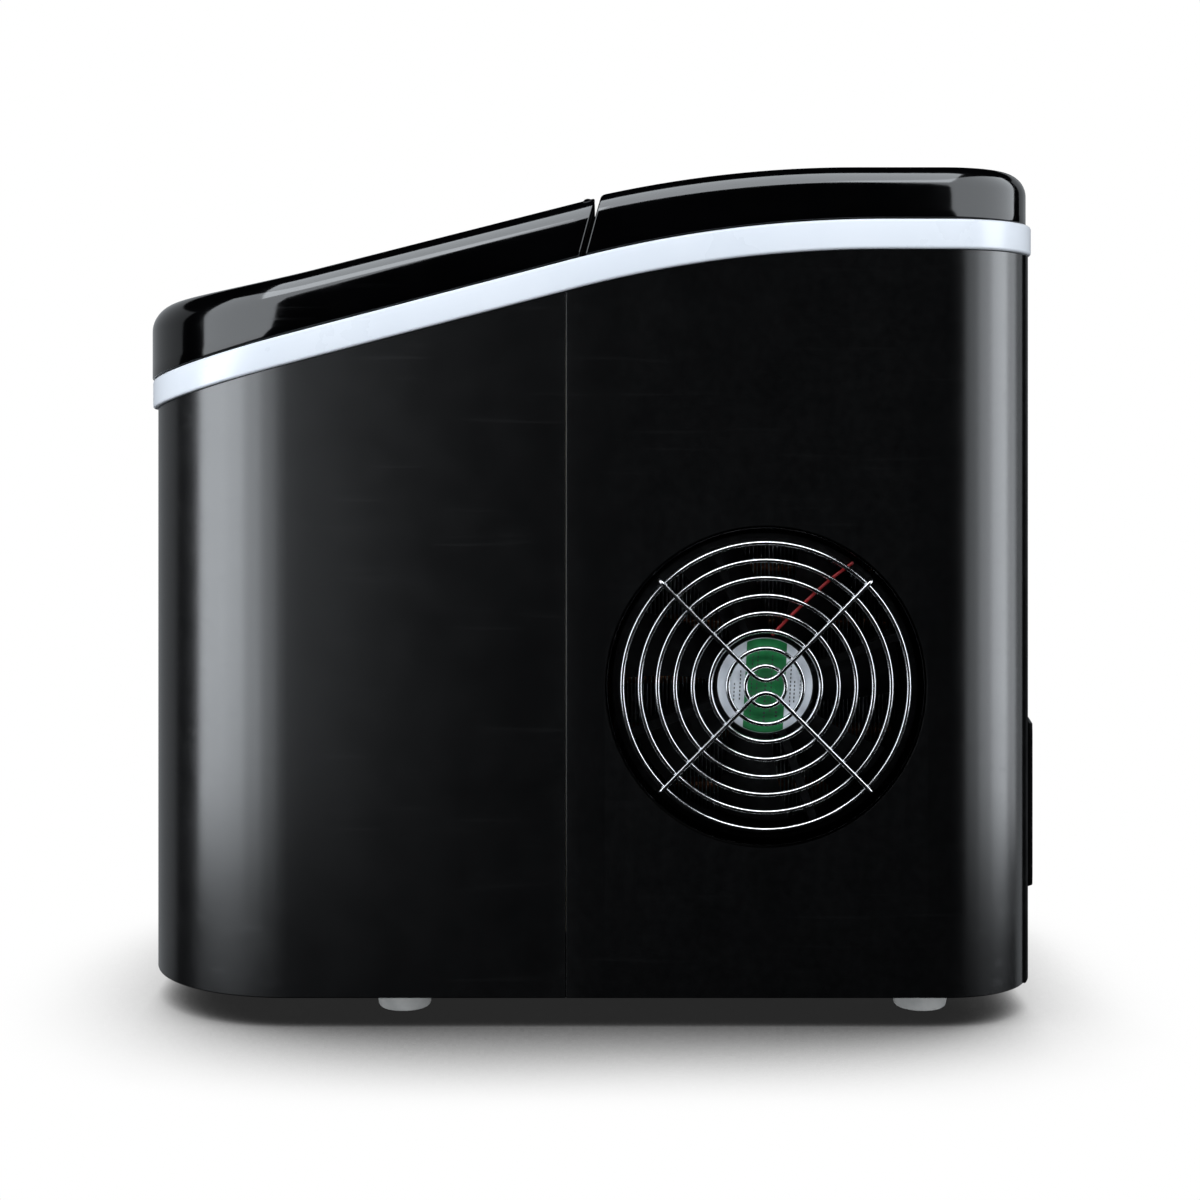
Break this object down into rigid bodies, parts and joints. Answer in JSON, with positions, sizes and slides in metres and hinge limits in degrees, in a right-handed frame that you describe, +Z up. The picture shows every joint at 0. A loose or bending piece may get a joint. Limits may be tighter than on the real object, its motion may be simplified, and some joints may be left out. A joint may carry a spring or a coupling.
{
  "type": "countertop ice maker",
  "caption": "Free-standing countertop ice maker with a sloping hinged lid, white trim band, wire side fan guard, tilting water tray, freezing fingers and a lift-out ice basket.",
  "frame": {"origin": "middle of the footprint, at the bottom of the feet", "axes": "+Z up, -Y towards the low front with the lid, +X towards the side with the fan guard"},
  "size_m": [0.2416, 0.3578, 0.3314],
  "materials": {
    "wrap_steel": "satin black lacquered sheet",
    "crown_gloss": "high gloss black",
    "moulded_black": "fine textured black moulding",
    "trim_white": "smooth cool white",
    "window_smoke": "smoked clear polycarbonate",
    "foot_rubber": "light grey rubber",
    "guard_wire": "bright plated wire",
    "foil_label": "printed foil, blank",
    "liner_plastic": "pale grey moulding",
    "basket_plastic": "translucent grey moulding",
    "foam": "rigid foam",
    "bare_aluminium": "mill finish",
    "plated_steel": "zinc plated",
    "copper_tube": "drawn copper",
    "compressor_paint": "black stove enamel",
    "board_green": "solder mask",
    "button_plastic": "silver grey",
    "lens_clear": "frosted clear",
    "lead_red": "red insulation",
    "hose_clear": "milky silicone"
  },
  "bodies": {
    "cabinet": {"front_shell": "wrap_steel", "right_side_panel": "wrap_steel", "left_side_panel": "wrap_steel", "back_panel": "moulded_black", "rear_vent_grille": "moulded_black", "power_inlet": "moulded_black", "base_pan": "moulded_black", "foot_front_right": "foot_rubber", "foot_front_left": "foot_rubber", "foot_rear_right": "foot_rubber", "foot_rear_left": "foot_rubber", "trim_band": "trim_white", "upper_deck": "moulded_black", "hinge_pin_right": "plated_steel", "hinge_pin_left": "plated_steel", "rear_cover": "crown_gloss", "control_overlay": "crown_gloss", "indicator_lens_1": "lens_clear", "indicator_lens_2": "lens_clear", "indicator_lens_3": "lens_clear", "indicator_lens_4": "lens_clear", "indicator_lens_5": "lens_clear", "control_board": "board_green", "inner_liner": "liner_plastic", "liner_insulation": "foam", "evaporator": "bare_aluminium", "evaporator_bracket": "plated_steel", "tray_motor": "moulded_black", "float_stem": "liner_plastic", "drain_pipe": "moulded_black", "compressor": "compressor_paint", "compressor_mount": "plated_steel", "compressor_terminal_cover": "moulded_black", "condenser": "bare_aluminium", "fan_frame": "moulded_black", "fan_motor_label": "foil_label", "fan_lead": "lead_red", "fan_guard": "guard_wire", "filter_drier": "copper_tube", "hot_gas_valve": "plated_steel", "discharge_tube": "copper_tube", "suction_tube": "copper_tube", "capillary_tube": "copper_tube", "water_pump": "moulded_black", "water_hose": "hose_clear", "power_board": "board_green"},
    "lid": {"front_lid": "crown_gloss", "lid_window": "window_smoke"},
    "power_key": {"power_button": "button_plastic"},
    "select_key": {"select_button": "button_plastic"},
    "fan": {"fan_rotor": "moulded_black"},
    "tray": {"water_tray": "liner_plastic"},
    "shovel": {"ice_shovel": "liner_plastic"},
    "basket": {"ice_basket": "basket_plastic"},
    "float": {"float_ring": "trim_white"},
    "drain_closure": {"drain_cap": "moulded_black"}
  },
  "joints": [
    {"name": "lid_hinge", "type": "hinge", "parent": "cabinet", "child": "lid", "pos_m": [0, 0.00126, 0.31667], "axis": [-1, 0, 0], "range_deg": [0, 85]},
    {"name": "power_press", "type": "slide", "parent": "cabinet", "child": "power_key", "axis": [0, 0.1322, -0.9912], "range_m": [0, 0.001], "stiffness_N_per_m": 600, "springref_m": -0.0005},
    {"name": "select_press", "type": "slide", "parent": "cabinet", "child": "select_key", "axis": [0, 0.1322, -0.9912], "range_m": [0, 0.001], "stiffness_N_per_m": 600, "springref_m": -0.0005},
    {"name": "fan_spin", "type": "hinge", "parent": "cabinet", "child": "fan", "pos_m": [0.1, 0.0696, 0.1307], "axis": [1, 0, 0], "continuous": true},
    {"name": "tray_tilt", "type": "hinge", "parent": "cabinet", "child": "tray", "pos_m": [0, -0.054, 0.2], "axis": [1, 0, 0], "range_deg": [0, 70]},
    {"name": "shovel_swing", "type": "hinge", "parent": "cabinet", "child": "shovel", "pos_m": [0, -0.054, 0.2], "axis": [1, 0, 0], "range_deg": [-74, 0]},
    {"name": "basket_lift", "type": "slide", "parent": "cabinet", "child": "basket", "axis": [0, 0, 1], "range_m": [0, 0.04]},
    {"name": "float_rise", "type": "slide", "parent": "cabinet", "child": "float", "axis": [0, 0, 1], "range_m": [0, 0.0105]},
    {"name": "drain_turn", "type": "hinge", "parent": "cabinet", "child": "drain_closure", "pos_m": [-0.1154, -0.06, 0.06], "axis": [-1, 0, 0], "range_deg": [0, 90]}
  ],
  "couplings": [
    {"joint": "shovel_swing", "follows": "tray_tilt", "ratio": -1.05}
  ]
}
